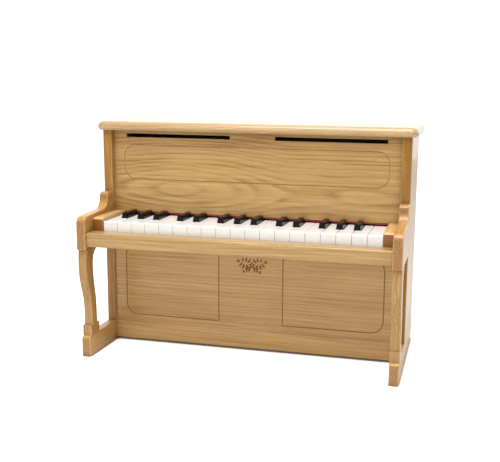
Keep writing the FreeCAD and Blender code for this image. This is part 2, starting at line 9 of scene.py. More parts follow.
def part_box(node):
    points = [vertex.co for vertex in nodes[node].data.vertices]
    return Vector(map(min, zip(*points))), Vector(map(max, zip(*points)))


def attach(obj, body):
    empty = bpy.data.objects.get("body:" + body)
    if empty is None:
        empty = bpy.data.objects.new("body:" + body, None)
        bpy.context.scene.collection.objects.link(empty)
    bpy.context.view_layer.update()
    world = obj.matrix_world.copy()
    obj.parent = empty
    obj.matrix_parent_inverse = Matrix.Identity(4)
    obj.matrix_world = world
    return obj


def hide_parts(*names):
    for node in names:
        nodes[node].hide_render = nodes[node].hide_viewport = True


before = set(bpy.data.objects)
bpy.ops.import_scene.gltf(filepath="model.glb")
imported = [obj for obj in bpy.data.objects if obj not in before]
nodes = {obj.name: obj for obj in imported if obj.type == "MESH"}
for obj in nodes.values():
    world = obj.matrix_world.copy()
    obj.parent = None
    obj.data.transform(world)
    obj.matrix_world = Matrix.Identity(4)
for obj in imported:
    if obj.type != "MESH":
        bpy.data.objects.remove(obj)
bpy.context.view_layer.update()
scene = bpy.context.scene
print("frame loaded:", len(nodes), "nodes")


def srgb(red, green, blue):  # screen colour 0..255 to linear
    steps = [v / 255 for v in (red, green, blue)]
    return tuple(v / 12.92 if v <= 0.04045 else ((v + 0.055) / 1.055) ** 2.4 for v in steps) + (1.0,)


# node helpers: most make one node and give back its output socket

nodeGrid = {"perRow": 9, "wide": 190, "high": 260}  # where nodes lie in the shader editor


def put(tree, kind):
    node = tree.nodes.new(kind)
    row, column = divmod(len(tree.nodes), nodeGrid["perRow"])
    node.location = (nodeGrid["wide"] * column, -nodeGrid["high"] * row)
    return node


def feed(tree, socket, value):  # value is another socket or a constant
    if isinstance(value, bpy.types.NodeSocket):
        tree.links.new(value, socket)
    else:
        socket.default_value = value


def calc(tree, kind, a, b=0.0, c=0.0, clamp=False):
    node = put(tree, "ShaderNodeMath")
    node.operation = kind
    node.use_clamp = clamp
    for socket, value in zip(node.inputs, (a, b, c)):
        feed(tree, socket, value)
    return node.outputs[0]


def vectorCalc(tree, kind, a, b):
    node = put(tree, "ShaderNodeVectorMath")
    node.operation = kind
    feed(tree, node.inputs[0], a)
    feed(tree, node.inputs[1], b)
    return node.outputs["Value"] if kind == "DOT_PRODUCT" else node.outputs["Vector"]


def split(tree, vector):
    node = put(tree, "ShaderNodeSeparateXYZ")
    feed(tree, node.inputs[0], vector)
    return list(node.outputs)


def join(tree, x, y, z):
    node = put(tree, "ShaderNodeCombineXYZ")
    for socket, value in zip(node.inputs, (x, y, z)):
        feed(tree, socket, value)
    return node.outputs[0]


def noise(tree, point, size, detail, rough):  # size: waves per metre along each axis
    node = put(tree, "ShaderNodeTexNoise")
    feed(tree, node.inputs["Vector"], vectorCalc(tree, "MULTIPLY", point, size))
    node.inputs["Scale"].default_value = 1.0
    node.inputs["Detail"].default_value = detail
    node.inputs["Roughness"].default_value = rough
    return node.outputs[0]


def remap(tree, value, low, high, newLow=0.0, newHigh=1.0, smooth=True):
    node = put(tree, "ShaderNodeMapRange")
    node.interpolation_type = "SMOOTHSTEP" if smooth else "LINEAR"
    for socket, v in zip(node.inputs, (value, low, high, newLow, newHigh)):
        feed(tree, socket, v)
    return node.outputs[0]


def mix(tree, factor, a, b, blend="MIX"):
    node = put(tree, "ShaderNodeMix")
    node.data_type = "RGBA"
    node.blend_type = blend
    for place, value in ((0, factor), (6, a), (7, b)):  # the colour sockets of a Mix node
        feed(tree, node.inputs[place], value)
    return node.outputs[2]


def curve(tree, value, stops):  # a grey ramp, stops are (place, height)
    node = put(tree, "ShaderNodeValToRGB")
    feed(tree, node.inputs[0], value)
    ramp = node.color_ramp
    while len(ramp.elements) < len(stops):
        ramp.elements.new(0.5)
    for element, (place, height) in zip(ramp.elements, stops):
        element.position = place
        element.color = (height, height, height, 1)
    return node.outputs[0]


def newGroup(name, inputs, outputs):
    tree = bpy.data.node_groups.new(name, "ShaderNodeTree")
    for label, kind, start in inputs:
        socket = tree.interface.new_socket(label, in_out="INPUT", socket_type="NodeSocket" + kind)
        if start is not None:
            socket.default_value = start
    for label, kind in outputs:
        tree.interface.new_socket(label, in_out="OUTPUT", socket_type="NodeSocket" + kind)
    source = put(tree, "NodeGroupInput")
    target = put(tree, "NodeGroupOutput")
    return tree, source.outputs, target.inputs


def putOut(tree, out, **values):
    for label, value in values.items():
        tree.links.new(value, out[label])


def useGroup(tree, group, **values):
    node = put(tree, "ShaderNodeGroup")
    node.node_tree = group
    for label, value in values.items():
        feed(tree, node.inputs[label], value)
    return node.outputs


# shared effects; a noise row is (waves per metre along each axis), detail, roughness
# a range row is low, high and, where they aren't 0 and 1, the new low and high

figureLook = {
    "seedShift": (0.37, 0.73, 1.31),
    "slow": ((4.5, 19, 19), 2.0, 0.5), "sway": ((7.0, 11, 37), 2.0, 0.5),  # how the rings wander
    "lean": ((0.42, 1, 1), 1.0, 0.5), "leanYears": 1.7,  # fat and lean years
    "year": [(0.0, 0.75), (0.1, 1.0), (0.34, 0.36), (0.82, 0.0), (1.0, 0.75)],  # how dark, through one year
    "fade": ((8, 60, 60), 2.0, 0.5), "fadeRange": (0.34, 0.64, 0.25, 1.0),  # rings come and go
    "streak": ((6.5, 310, 310), 3.0, 0.6), "fibre": ((24, 1500, 1500), 2.0, 0.5),
    "blotch": ((5.5, 26, 26), 2.0, 0.5),
    "fleck": ((15, 560, 560), 2.0, 0.6), "fleckRange": (0.54, 0.72),
    "pore": ((120, 3600, 3600), 1.0, 0.5), "poreRange": (0.57, 0.72), "poreInBand": 0.65, "poreBetween": 0.35,
    "toneStreak": (0.42, 1.15), "toneBlotch": (0.5, 0.75), "toneFibre": (0.5, 0.35), "toneBase": 0.14,
    "sawnDark": 0.55, "sawnAmount": 0.8,
    "glossBase": 0.24, "glossStreak": 0.16, "glossPore": 0.22,
    "heightFibre": 0.25, "heightBand": -0.3, "heightPore": -0.8,
}


def makeTimberFigure(look):
    # Point runs along the grain in X, across the board in Y and into it in Z
    tree, given, out = newGroup(
        "timberFigure",
        [
            ("Point", "Vector", None), ("Seed", "Float", 0.0), ("LogAcross", "Float", 0.0),
            ("LogDepth", "Float", 0.1), ("ArchFrom", "Float", -0.2), ("ArchReach", "Float", 0.4),
            ("ArchDepth", "Float", 0.0), ("RingWidth", "Float", 0.005), ("Wander", "Float", 0.01),
            ("Figure", "Float", 0.5), ("PoreAmount", "Float", 0.4), ("FleckAmount", "Float", 0.3),
            ("EndFace", "Float", 0.0),
            ("Light", "Color", (0.6, 0.4, 0.2, 1)), ("Dark", "Color", (0.4, 0.2, 0.1, 1)),
            ("Pore", "Color", (0.2, 0.1, 0.05, 1)), ("Fleck", "Color", (0.7, 0.5, 0.3, 1)),
        ],
        [("Color", "Color"), ("Gloss", "Float"), ("Height", "Float")],
    )
    seed = given["Seed"]
    shift = vectorCalc(tree, "MULTIPLY", look["seedShift"], join(tree, seed, seed, seed))
    point = vectorCalc(tree, "ADD", given["Point"], shift)
    along, across, depth = split(tree, given["Point"])
    # the log's heart sinks away from the board on both sides of ArchFrom, which gives arches and eyes
    slow = calc(tree, "SUBTRACT", noise(tree, point, *look["slow"]), 0.5)
    sway = calc(tree, "SUBTRACT", noise(tree, point, *look["sway"]), 0.5)
    across = calc(tree, "SUBTRACT", across, given["LogAcross"])
    across = calc(tree, "MULTIPLY_ADD", slow, given["Wander"], across)
    depth = calc(tree, "SUBTRACT", depth, given["LogDepth"])
    away = calc(tree, "ABSOLUTE", calc(tree, "SUBTRACT", along, given["ArchFrom"]))
    sink = remap(tree, away, 0.0, given["ArchReach"], 0.0, given["ArchDepth"])
    depth = calc(tree, "SUBTRACT", depth, sink)
    depth = calc(tree, "MULTIPLY_ADD", sway, given["Wander"], depth)
    squares = [calc(tree, "MULTIPLY", side, side) for side in (across, depth)]
    fromHeart = calc(tree, "SQRT", calc(tree, "ADD", *squares))
    years = calc(tree, "DIVIDE", fromHeart, given["RingWidth"])
    lean = noise(tree, join(tree, years, seed, 0.0), *look["lean"])
    years = calc(tree, "MULTIPLY_ADD", lean, look["leanYears"], years)
    band = curve(tree, calc(tree, "FRACT", years), look["year"])
    fade = remap(tree, noise(tree, point, *look["fade"]), *look["fadeRange"])
    band = calc(tree, "MULTIPLY", band, fade)
    streak = noise(tree, point, *look["streak"])
    fleck = remap(tree, noise(tree, point, *look["fleck"]), *look["fleckRange"])
    fibre = noise(tree, point, *look["fibre"])
    blotch = noise(tree, point, *look["blotch"])
    pore = remap(tree, noise(tree, point, *look["pore"]), *look["poreRange"])
    poreShare = calc(tree, "MULTIPLY_ADD", band, look["poreInBand"], look["poreBetween"])
    pore = calc(tree, "MULTIPLY", pore, poreShare)
    tone = calc(tree, "MULTIPLY", band, given["Figure"])
    for value, label in ((streak, "toneStreak"), (blotch, "toneBlotch"), (fibre, "toneFibre")):
        middle, weight = look[label]
        tone = calc(tree, "MULTIPLY_ADD", calc(tree, "SUBTRACT", value, middle), weight, tone)
    tone = calc(tree, "ADD", tone, look["toneBase"], clamp=True)
    colour = mix(tree, tone, given["Light"], given["Dark"])
    colour = mix(tree, calc(tree, "MULTIPLY", pore, given["PoreAmount"]), colour, given["Pore"])
    colour = mix(tree, calc(tree, "MULTIPLY", fleck, given["FleckAmount"]), colour, given["Fleck"])
    sawn = mix(tree, look["sawnDark"], colour, given["Pore"])
    colour = mix(tree, calc(tree, "MULTIPLY", given["EndFace"], look["sawnAmount"]), colour, sawn)
    gloss = calc(tree, "MULTIPLY_ADD", streak, look["glossStreak"], look["glossBase"])
    gloss = calc(tree, "MULTIPLY_ADD", pore, look["glossPore"], gloss)
    height = calc(tree, "MULTIPLY", fibre, look["heightFibre"])
    height = calc(tree, "MULTIPLY_ADD", band, look["heightBand"], height)
    height = calc(tree, "MULTIPLY_ADD", pore, look["heightPore"], height)
    putOut(tree, out, Color=colour, Gloss=gloss, Height=height)
    return tree


edgeLook = {"samples": 4, "bend": (0.995, 0.86), "speckle": ((90, 90, 90), 3.0, 0.65),
            "speckleRange": (0.3, 0.62)}


def makeEdgeWearAndHighlight(look):
    # a mask along edges, broken up by noise: partly wear, partly a painted highlight where edges catch the light
    tree, given, out = newGroup(
        "edgeWearAndHighlight",
        [("Point", "Vector", None), ("Radius", "Float", 0.0012), ("Amount", "Float", 0.5)],
        [("Mask", "Float")],
    )
    rounded = put(tree, "ShaderNodeBevel")
    rounded.samples = look["samples"]
    tree.links.new(given["Radius"], rounded.inputs["Radius"])
    flat = put(tree, "ShaderNodeNewGeometry")
    same = vectorCalc(tree, "DOT_PRODUCT", rounded.outputs[0], flat.outputs["Normal"])
    edge = remap(tree, same, *look["bend"])
    broken = remap(tree, noise(tree, given["Point"], *look["speckle"]), *look["speckleRange"])
    wearAndHighlight = calc(tree, "MULTIPLY", edge, broken)
    putOut(tree, out, Mask=calc(tree, "MULTIPLY", wearAndHighlight, given["Amount"]))
    return tree


cornerLook = {"samples": 6, "openRange": (0.92, 0.4), "cloud": ((70, 70, 70), 2.0, 0.5),
              "cloudRange": (0.2, 0.6, 0.6, 1.0)}


def makeCornerShade(look):
    # painted shade: a mask in the corners where boards meet, darkest where the surface is most closed in
    tree, given, out = newGroup(
        "cornerShade",
        [("Point", "Vector", None), ("Reach", "Float", 0.014), ("Amount", "Float", 0.4)],
        [("Mask", "Float")],
    )
    near = put(tree, "ShaderNodeAmbientOcclusion")
    near.samples = look["samples"]
    tree.links.new(given["Reach"], near.inputs["Distance"])
    hidden = remap(tree, near.outputs["AO"], *look["openRange"])
    cloud = remap(tree, noise(tree, given["Point"], *look["cloud"]), *look["cloudRange"])
    shaded = calc(tree, "MULTIPLY", hidden, cloud)
    putOut(tree, out, Mask=calc(tree, "MULTIPLY", shaded, given["Amount"]))
    return tree


handlingLook = {
    "smear": ((120, 70, 120), 3.0, 0.6), "smudgeRange": (0.45, 0.75), "ripple": ((260, 260, 260), 1.0, 0.5),
    "scratch": ((2600, 150, 900), 2.0, 0.5), "scratchRange": (0.64, 0.74), "scratchRough": 0.12,
    "scratchHeight": -0.4,
}


def makeHandlingMarks(look):
    # faint smears and fine scratches on moulded plastic
    tree, given, out = newGroup(
        "handlingMarks",
        [("Point", "Vector", None), ("Smear", "Float", 0.1), ("Base", "Float", 0.2)],
        [("Gloss", "Float"), ("Height", "Float"), ("Smudge", "Float")],
    )
    smear = noise(tree, given["Point"], *look["smear"])
    scratch = remap(tree, noise(tree, given["Point"], *look["scratch"]), *look["scratchRange"])
    ripple = noise(tree, given["Point"], *look["ripple"])
    gloss = calc(tree, "MULTIPLY_ADD", smear, given["Smear"], given["Base"])
    gloss = calc(tree, "MULTIPLY_ADD", scratch, look["scratchRough"], gloss)
    height = calc(tree, "MULTIPLY_ADD", scratch, look["scratchHeight"], ripple)
    putOut(tree, out, Gloss=gloss, Height=height, Smudge=remap(tree, smear, *look["smudgeRange"]))
    return tree


fibreLook = {
    "tuft": ((900, 900, 900), 3.0, 0.7), "hair": ((4200, 700, 3100), 2.0, 0.5),
    "cloud": ((60, 60, 60), 2.0, 0.5),
    "shadeTuft": 0.8, "shadeHair": 0.4, "shadeCloud": 0.4, "shadeLess": 0.3,
}


def makeFeltFibres(look):
    # matted wool: tufts, single hairs and slow clouds of tone
    tree, given, out = newGroup(
        "feltFibres",
        [("Point", "Vector", None), ("Pale", "Color", (0.5, 0.1, 0.1, 1)), ("Deep", "Color", (0.3, 0, 0, 1))],
        [("Color", "Color"), ("Height", "Float")],
    )
    tuft = noise(tree, given["Point"], *look["tuft"])
    hair = noise(tree, given["Point"], *look["hair"])
    cloud = noise(tree, given["Point"], *look["cloud"])
    shade = calc(tree, "MULTIPLY", cloud, look["shadeCloud"])
    shade = calc(tree, "MULTIPLY_ADD", tuft, look["shadeTuft"], shade)
    shade = calc(tree, "MULTIPLY_ADD", hair, look["shadeHair"], shade)
    shade = calc(tree, "SUBTRACT", shade, look["shadeLess"], clamp=True)
    colour = mix(tree, shade, given["Deep"], given["Pale"])
    putOut(tree, out, Color=colour, Height=calc(tree, "ADD", tuft, hair))
    return tree


drawnLook = {
    "lines": ((14, 2800, 2800), 3.0, 0.6), "cloud": ((25, 60, 60), 3.0, 0.6), "dullRange": (0.35, 0.7),
    "glossBase": 0.1, "glossCloud": 0.2, "glossLines": 0.2,
}


def makeDrawnMetal(look):
    # long fine lines that run along X of Point, with a little dulling
    tree, given, out = newGroup(
        "drawnMetal",
        [
            ("Point", "Vector", None), ("Bright", "Color", (0.7, 0.7, 0.7, 1)),
            ("Dull", "Color", (0.5, 0.5, 0.5, 1)),
        ],
        [("Color", "Color"), ("Gloss", "Float"), ("Height", "Float")],
    )
    lines = noise(tree, given["Point"], *look["lines"])
    cloud = noise(tree, given["Point"], *look["cloud"])
    colour = mix(tree, remap(tree, cloud, *look["dullRange"]), given["Bright"], given["Dull"])
    gloss = calc(tree, "MULTIPLY_ADD", cloud, look["glossCloud"], look["glossBase"])
    gloss = calc(tree, "MULTIPLY_ADD", lines, look["glossLines"], gloss)
    putOut(tree, out, Color=colour, Gloss=gloss, Height=lines)
    return tree


timberFigure = makeTimberFigure(figureLook)
edgeWearAndHighlight = makeEdgeWearAndHighlight(edgeLook)
cornerShade = makeCornerShade(cornerLook)
handlingMarks = makeHandlingMarks(handlingLook)
feltFibres = makeFeltFibres(fibreLook)
drawnMetal = makeDrawnMetal(drawnLook)
print("shared effects ready")


# materials: a row holds what differs from its base

def startMaterial(name):
    material = bpy.data.materials.new(name)
    material.use_nodes = True
    tree = material.node_tree
    tree.nodes.clear()
    shader = put(tree, "ShaderNodeBsdfPrincipled")
    tree.links.new(shader.outputs[0], put(tree, "ShaderNodeOutputMaterial").inputs["Surface"])
    place = put(tree, "ShaderNodeTexCoord")
    return material, tree, shader.inputs, place.outputs


def addBump(tree, shader, height, look):
    bump = put(tree, "ShaderNodeBump")
    bump.inputs["Strength"].default_value = look["relief"]
    bump.inputs["Distance"].default_value = look["reliefDepth"]
    tree.links.new(height, bump.inputs["Height"])
    tree.links.new(bump.outputs[0], shader["Normal"])


def turned(tree, vector, order):  # "zyx" puts the frame's Z along the grain
    parts = dict(zip("xyz", split(tree, vector)))
    return join(tree, *[parts[letter] for letter in order])


def makeAll(make, base, looks):
    return {name: make(name, {**base, **changes}) for name, changes in looks.items()}


# arch: from, reach and depth in metres; front and frontTone: colour and strength of the tone on front edges, a
# painted shade (on the key blocks also their darker end grain)
# squareOn: how squarely a face looks along an axis where its tone begins and where it is full
# edges, edgeRadius and edge: strength, reach and colour of the lighter edges, partly wear and partly a painted
# highlight; corners and cornerReach: strength and reach of the painted shade in corners
oakBase = {
    "order": "xzy", "seed": 1.0, "logAcross": 0.2, "logDepth": 0.1, "arch": (-0.2, 0.4, 0.0),
    "ringWidth": 0.0046, "wander": 0.012, "figure": 0.42, "pores": 0.42, "flecks": 0.35,
    "edges": 0.45, "edgeRadius": 0.0012, "edgeRough": 0.1, "corners": 0.4, "cornerReach": 0.014,
    "shine": 0.3, "lacquer": 0.3, "lacquerRough": 0.12, "relief": 0.35, "reliefDepth": 0.0003,
    "squareOn": (0.8, 0.97), "front": (255, 255, 255), "frontTone": 0.0,
    "light": (187, 151, 92), "dark": (149, 107, 54), "pore": (96, 60, 27), "edge": (216, 181, 127),
}
plyBase = {
    "ringWidth": 0.009, "wander": 0.03, "figure": 0.28, "pores": 0.12, "edges": 0.2, "lacquer": 0.0,
    "relief": 0.2, "light": (214, 186, 142), "dark": (190, 154, 106), "pore": (150, 108, 68),
}
# grain direction and figure of each board
timberLooks = {
    "upperOak": {"logAcross": 0.2145, "logDepth": 0.0014, "arch": (-0.098, 0.16, 0.02), "seed": 2.3,
                 "figure": 0.8, "ringWidth": 0.005},
    "lowerOak": {"logAcross": 0.6, "logDepth": 0.2, "seed": 5.1, "ringWidth": 0.0044, "wander": 0.01,
                 "light": (194, 156, 98), "dark": (156, 112, 60)},
    # slip: edges raised for a painted highlight along its rounded edges, with some wear
    "slipOak": {"logAcross": 0.02, "logDepth": -0.2, "arch": (-0.2, 0.4, 0.016), "seed": 7.9, "edges": 1.0,
                "light": (182, 149, 94), "dark": (145, 106, 56)},
    "railOak": {"logAcross": -0.2, "logDepth": 0.12, "arch": (-0.2, 0.4, 0.02), "seed": 9.4,
                "ringWidth": 0.006, "corners": 0.12, "light": (206, 167, 108), "dark": (168, 123, 68)},
    "lidOak": {"order": "xyz", "logAcross": 0.03, "logDepth": 0.36, "arch": (-0.22, 0.44, 0.035), "seed": 3.7,
               "lacquer": 1.0, "lacquerRough": 0.3, "light": (188, 155, 104), "dark": (152, 114, 65),
               "edge": (218, 187, 140)},
    # the side panels' front tones are painted shade, deeper on the right panel than on the left
    "sideOak": {"order": "zyx", "logAcross": 0.04, "logDepth": 0.26, "arch": (0.0, 0.3, -0.03), "seed": 4.6,
                "front": (208, 182, 118), "frontTone": 1.0},
    "leftSideOak": {"order": "zyx", "logAcross": -0.02, "logDepth": -0.27, "arch": (0.05, 0.28, -0.035),
                    "seed": 5.8, "front": (228, 205, 146), "frontTone": 1.0},
    # arms, legs and feet: edges raised for a painted highlight along them, with some wear
    "armOak": {"order": "yzx", "logAcross": 0.1, "seed": 6.2, "edges": 0.75,
               "light": (190, 143, 80), "dark": (155, 102, 47)},
    "legOak": {"order": "zxy", "logAcross": 0.1, "logDepth": 0.02, "arch": (0.02, 0.13, 0.004), "seed": 8.8,
               "edges": 0.75, "light": (177, 139, 84), "dark": (143, 100, 51)},
    "footOak": {"order": "yzx", "logAcross": 0.06, "logDepth": 0.13, "seed": 10.5, "edges": 0.75,
                "light": (196, 157, 98), "dark": (160, 115, 61)},
    # the key blocks' front tone: darker end grain and painted shade
    "blockOak": {"order": "yxz", "logAcross": 0.16, "logDepth": 0.2, "seed": 11.7, "figure": 0.6,
                 "light": (226, 186, 126), "dark": (190, 144, 84),
                 "front": (206, 166, 104), "frontTone": 1.0},
    "birchPly": {**plyBase, "seed": 13.2, "logAcross": 0.1, "logDepth": 0.03, "arch": (-0.2, 0.4, -0.04)},
    "birchPlyFlat": {**plyBase, "order": "xyz", "seed": 14.9, "logDepth": 0.4},
}


def timberMaterial(name, look):
    material, tree, shader, place = startMaterial(name)
    point = turned(tree, place["Object"], look["order"])
    squareFrom, squareFull = look["squareOn"]
    facing = split(tree, turned(tree, place["Normal"], look["order"]))[0]
    endFace = remap(tree, calc(tree, "ABSOLUTE", facing), squareFrom, squareFull)
    archFrom, archReach, archDepth = look["arch"]
    made = useGroup(
        tree, timberFigure, Point=point, Seed=look["seed"], LogAcross=look["logAcross"],
        LogDepth=look["logDepth"], ArchFrom=archFrom, ArchReach=archReach, ArchDepth=archDepth,
        RingWidth=look["ringWidth"], Wander=look["wander"], Figure=look["figure"], PoreAmount=look["pores"],
        FleckAmount=look["flecks"], EndFace=endFace, Light=srgb(*look["light"]), Dark=srgb(*look["dark"]),
        Pore=srgb(*look["pore"]), Fleck=srgb(*look["edge"]),
    )
    # front faces take the front tone: painted shade, and on the key blocks also their darker end grain
    ahead = split(tree, place["Normal"])[1]
    frontShadeAndEndGrain = calc(tree, "MULTIPLY", remap(tree, ahead, -squareFrom, -squareFull), look["frontTone"])
    colour = mix(tree, frontShadeAndEndGrain, made["Color"], srgb(*look["front"]), "MULTIPLY")
    # painted shade: corners where boards meet darken towards the pore colour
    corner = useGroup(tree, cornerShade, Point=point, Reach=look["cornerReach"], Amount=look["corners"])
    colour = mix(tree, corner["Mask"], colour, srgb(*look["pore"]))
    # lighter edges: partly wear, partly a painted highlight where edges catch the light
    wearAndHighlight = useGroup(tree, edgeWearAndHighlight, Point=point, Radius=look["edgeRadius"], Amount=look["edges"])
    colour = mix(tree, wearAndHighlight["Mask"], colour, srgb(*look["edge"]))
    rough = calc(tree, "MULTIPLY_ADD", wearAndHighlight["Mask"], look["edgeRough"], made["Gloss"])
    tree.links.new(colour, shader["Base Color"])
    tree.links.new(rough, shader["Roughness"])
    shader["Specular IOR Level"].default_value = look["shine"]
    shader["Coat Weight"].default_value = look["lacquer"]
    shader["Coat Roughness"].default_value = look["lacquerRough"]
    addBump(tree, shader, made["Height"], look)
    return material


finishes = makeAll(timberMaterial, oakBase, timberLooks)
print("timber ready:", len(finishes))

# sideGlaze: the faces that turn to the next key come polished out of the mould
plasticBase = {"ior": 1.5, "shine": 0.5, "sideGlaze": 0.0, "glazeRough": 0.06, "squareOn": (0.6, 0.9),
               "reliefDepth": 0.0001}
plasticLooks = {
    "keyWhite": {"colour": (232, 231, 227), "smudged": (227, 225, 219), "gloss": 0.12, "smear": 0.12,
                 "relief": 0.15},
    "keyBlack": {"colour": (9, 8, 8), "smudged": (16, 15, 15), "gloss": 0.16, "smear": 0.16,
                 "shine": 0.09, "sideGlaze": 0.4, "relief": 0.2},
    "combGrey": {"colour": (122, 122, 118), "smudged": (108, 108, 105), "gloss": 0.42, "smear": 0.15,
                 "ior": 1.48, "relief": 0.3},
}


def plasticMaterial(name, look):
    material, tree, shader, place = startMaterial(name)
    marks = useGroup(tree, handlingMarks, Point=place["Object"], Smear=look["smear"], Base=look["gloss"])
    colour = mix(tree, marks["Smudge"], srgb(*look["colour"]), srgb(*look["smudged"]))
    tree.links.new(colour, shader["Base Color"])
    tree.links.new(marks["Gloss"], shader["Roughness"])
    shader["IOR"].default_value = look["ior"]
    shader["Specular IOR Level"].default_value = look["shine"]
    if look["sideGlaze"]:
        beside = calc(tree, "ABSOLUTE", split(tree, place["Normal"])[0])
        tree.links.new(remap(tree, beside, *look["squareOn"], 0.0, look["sideGlaze"]), shader["Coat Weight"])
        shader["Coat Roughness"].default_value = look["glazeRough"]
    addBump(tree, shader, marks["Height"], look)
    return material


feltBase = {"rough": 0.95, "shine": 0.15, "sheen": 0.5, "sheenRough": 0.45, "relief": 0.8,
            "reliefDepth": 0.0004}
feltLooks = {
    "redFelt": {"pale": (216, 92, 80), "deep": (170, 54, 47)},
    "greyFelt": {"pale": (150, 148, 142), "deep": (98, 97, 93)},
}


def feltMaterial(name, look):
    material, tree, shader, place = startMaterial(name)
    pale, deep = srgb(*look["pale"]), srgb(*look["deep"])
    made = useGroup(tree, feltFibres, Point=place["Object"], Pale=pale, Deep=deep)
    tree.links.new(made["Color"], shader["Base Color"])
    shader["Roughness"].default_value = look["rough"]
    shader["Specular IOR Level"].default_value = look["shine"]
    shader["Sheen Weight"].default_value = look["sheen"]
    shader["Sheen Roughness"].default_value = look["sheenRough"]
    shader["Sheen Tint"].default_value = pale
    addBump(tree, shader, made["Height"], look)
    return material


# each metal darkens in its hollows, a painted shade, most in the screw recesses
metalBase = {"recessShade": 0.3, "recessShadeReach": 0.0012, "relief": 0.2, "reliefDepth": 0.00005}
metalLooks = {
    "rodSteel": {"order": "xyz", "bright": (200, 200, 200), "dull": (172, 171, 168), "recessShadeTone": (70, 66, 60)},
    "screwSteel": {"order": "yxz", "bright": (204, 199, 180), "dull": (168, 160, 138), "recessShadeTone": (44, 40, 34),
                   "recessShade": 1.0},
    "pipeAluminium": {"order": "zxy", "bright": (226, 228, 230), "dull": (200, 203, 206),
                      "recessShadeTone": (110, 108, 104)},
}


def metalMaterial(name, look):
    material, tree, shader, place = startMaterial(name)
    point = turned(tree, place["Object"], look["order"])
    made = useGroup(tree, drawnMetal, Point=point, Bright=srgb(*look["bright"]), Dull=srgb(*look["dull"]))
    # painted shade in the hollows, such as the screw recesses
    recessShade = useGroup(tree, cornerShade, Point=point, Reach=look["recessShadeReach"], Amount=look["recessShade"])
    tree.links.new(mix(tree, recessShade["Mask"], made["Color"], srgb(*look["recessShadeTone"])), shader["Base Color"])
    tree.links.new(made["Gloss"], shader["Roughness"])
    shader["Metallic"].default_value = 1.0
    addBump(tree, shader, made["Height"], look)
    return material


stainBase = {
    "streak": ((60, 900, 300), 3.0, 0.6), "streakRange": (0.3, 0.7), "rough": 0.4, "streakRough": 0.3,
    "shine": 0.2, "relief": 0.3, "reliefDepth": 0.0002,
}
stainLooks = {
    "upperStain": {"deep": (160, 120, 72), "thin": (178, 140, 88)},
    "lowerStain": {"deep": (150, 108, 54), "thin": (168, 124, 68)},
    "sprigStain": {"deep": (104, 66, 24), "thin": (130, 90, 40)},
}


def stainMaterial(name, look):  # dark stain in the routed lines and the sprig
    material, tree, shader, place = startMaterial(name)
    streak = noise(tree, place["Object"], *look["streak"])
    thinned = remap(tree, streak, *look["streakRange"])
    rough = calc(tree, "MULTIPLY_ADD", streak, look["streakRough"], look["rough"])
    tree.links.new(mix(tree, thinned, srgb(*look["deep"]), srgb(*look["thin"])), shader["Base Color"])
    tree.links.new(rough, shader["Roughness"])
    shader["Specular IOR Level"].default_value = look["shine"]
    addBump(tree, shader, streak, look)
    return material


finishes.update(makeAll(plasticMaterial, plasticBase, plasticLooks))
finishes.update(makeAll(feltMaterial, feltBase, feltLooks))
finishes.update(makeAll(metalMaterial, metalBase, metalLooks))
finishes.update(makeAll(stainMaterial, stainBase, stainLooks))
print("plastics, felts, metals and stain ready")

dress = {
    "top_board": "lidOak", "left_side_panel": "leftSideOak", "right_side_panel": "sideOak",
    "upper_front_panel": "upperOak", "lower_front_panel": "lowerOak",
    "bottom_rail": "railOak", "key_slip": "slipOak",
    "left_key_block": "blockOak", "right_key_block": "blockOak",
    "left_arm": "armOak", "right_arm": "armOak", "left_leg": "legOak", "right_leg": "legOak",
    "left_foot": "footOak", "right_foot": "footOak",
    "back_panel": "birchPly", "pipe_rails": "birchPly", "pipe_clamps": "birchPly",
    "bottom_board": "birchPlyFlat", "key_bed": "birchPlyFlat",
    "balance_rail": "combGrey", "key_pivot_rod": "rodSteel", "tone_pipes": "pipeAluminium",
}
for name in nodes:
    if name.startswith("white_key"):
        dress[name] = "keyWhite"
    elif name.startswith("black_key"):
        dress[name] = "keyBlack"
for name, finish in dress.items():
    for slot in nodes[name].material_slots:
        slot.material = finishes[finish]
print("nodes dressed:", len(dress))


# modelled pieces

weldReach = 1e-6  # metres


def weldedCopy(nodeName):  # a node's mesh to work on, with its corners joined
    work = bmesh.new()
    work.from_mesh(nodes[nodeName].data)
    bmesh.ops.remove_doubles(work, verts=work.verts, dist=weldReach)
    return work


def wall(work, a, b):  # quads between two closed rows of corners
    for i in range(len(a)):
        j = (i + 1) % len(a)
        work.faces.new((a[i], a[j], b[j], b[i]))


def addPiece(name, work, finish, slotName, replaced=()):
    mesh = bpy.data.meshes.new(name)
    bmesh.ops.recalc_face_normals(work, faces=work.faces)
    work.to_mesh(mesh)
    work.free()
    mesh.materials.append(finishes[finish])
    piece = bpy.data.objects.new(name, mesh)
    scene.collection.objects.link(piece)
    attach(piece, "case")
    if replaced:
        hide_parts(*replaced)
    return piece


# round: radius of the cut edges; fuzz: how far a point is pulled in; slice: one step along the strip
stripBase = {"round": 0.0008, "cornerSteps": 4, "fuzz": 0.0001, "slice": 0.003}
feltStrips = {
    "nameFelt": {"node": "name_felt", "finish": "redFelt", "slot": "red_felt", "seed": 40,
                 "round": 0.0009, "fuzz": 0.00012},
    "frontStopFelt": {"node": "front_stop_felt", "finish": "greyFelt", "slot": "grey_felt", "seed": 41},
    "restFelt": {"node": "rest_felt", "finish": "greyFelt", "slot": "grey_felt", "seed": 42},
}


